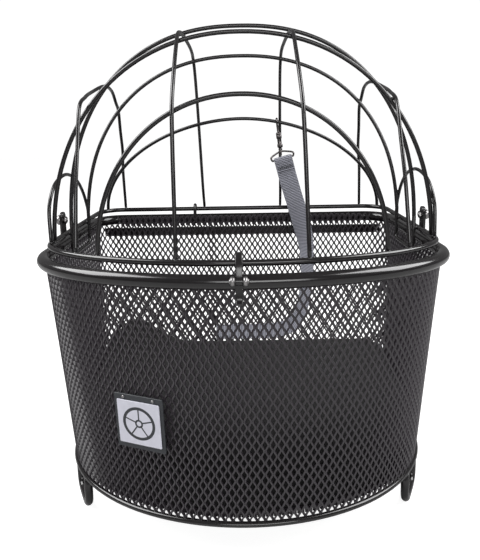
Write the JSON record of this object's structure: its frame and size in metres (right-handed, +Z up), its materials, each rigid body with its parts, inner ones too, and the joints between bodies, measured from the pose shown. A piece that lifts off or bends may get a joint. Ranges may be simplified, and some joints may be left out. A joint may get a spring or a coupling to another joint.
{
  "type": "bicycle handlebar basket",
  "caption": "Round-fronted expanded-metal basket that hangs from a handlebar to carry a small pet, with a hinged wire dome lid, padded mat and safety leash.",
  "frame": {"origin": "on the ground, under the middle of the basket’s overall width and depth", "axes": "+Z up, +Y towards the handlebar (the straight back), -Y the round front, +X the right-hand side seen from the front"},
  "size_m": [0.3832, 0.3152, 0.4651],
  "materials": {
    "steel_black": "gloss black powder coat",
    "mesh_black": "satin black powder coat",
    "zinc": "dull zinc plate",
    "dark_nickel": "dark nickel plate",
    "webbing": "ribbed grey-blue webbing",
    "cushion_cloth": "matt black fleece",
    "badge_backing": "black",
    "badge_plate": "smooth"
  },
  "bodies": {
    "basket": {"rim_tube": "steel_black", "base_wire": "steel_black", "base_cross_wire_front": "steel_black", "base_cross_wire_rear": "steel_black", "front_left_foot": "steel_black", "front_right_foot": "steel_black", "rear_left_foot": "steel_black", "rear_right_foot": "steel_black", "mounting_rail": "steel_black", "lid_hinge_hook_left": "steel_black", "lid_hinge_hook_right": "steel_black", "side_tab_left": "steel_black", "side_tab_right": "steel_black", "rail_bolt_left": "steel_black", "rail_bolt_right": "steel_black", "rail_nut_left": "steel_black", "rail_nut_right": "steel_black", "mesh_wall": "mesh_black", "mesh_floor": "mesh_black", "latch_ear_left": "zinc", "latch_ear_right": "zinc", "side_bolt_left": "zinc", "side_bolt_right": "zinc", "side_nut_left": "zinc", "side_nut_right": "zinc", "latch_pin": "zinc", "badge_rivet_left": "zinc", "badge_rivet_right": "zinc", "leash_strap": "webbing", "seat_cushion": "cushion_cloth", "badge_backing": "badge_backing", "badge_plate": "badge_plate"},
    "lid": {"lid_ring": "steel_black", "lid_guide_loop": "steel_black", "lid_front_arch": "steel_black", "lid_second_arch": "steel_black", "lid_rear_arch": "steel_black", "lid_centre_wire_left": "steel_black", "lid_centre_wire_right": "steel_black", "lid_outer_wire_left": "steel_black", "lid_outer_wire_right": "steel_black", "lid_side_wire_left": "steel_black", "lid_side_wire_right": "steel_black"},
    "latch": {"latch_hook": "steel_black"},
    "snap_hook": {"snap_hook_body": "dark_nickel", "snap_spring": "zinc"},
    "snap_bolt": {"snap_bolt": "dark_nickel"},
    "swivel": {"swivel_eye": "dark_nickel", "leash_d_ring": "dark_nickel", "leash_fold": "webbing"}
  },
  "joints": [
    {"name": "lid_hinge", "type": "hinge", "parent": "basket", "child": "lid", "pos_m": [0, 0.1486, 0.2641], "axis": [-1, 0, 0], "range_deg": [0, 105]},
    {"name": "latch_pivot", "type": "hinge", "parent": "basket", "child": "latch", "pos_m": [-0.003, -0.153, 0.2546], "axis": [1, 0, 0], "range_deg": [0, 30]},
    {"name": "snap_hook_on_arch", "type": "hinge", "parent": "lid", "child": "snap_hook", "pos_m": [0.0425, 0.1115, 0.3711], "axis": [1, 0, 0], "range_deg": [-3, 3]},
    {"name": "snap_bolt_slide", "type": "slide", "parent": "snap_hook", "child": "snap_bolt", "axis": [0.1142, 0, -0.9935], "range_m": [0, 0.006], "stiffness_N_per_m": 150, "springref_m": -0.003, "deforming": ["snap_spring"]},
    {"name": "leash_swivel", "type": "hinge", "parent": "snap_hook", "child": "swivel", "pos_m": [0.04593, 0.1091, 0.3413], "axis": [0.1142, 0, -0.9935], "range_deg": [-12, 12]}
  ]
}
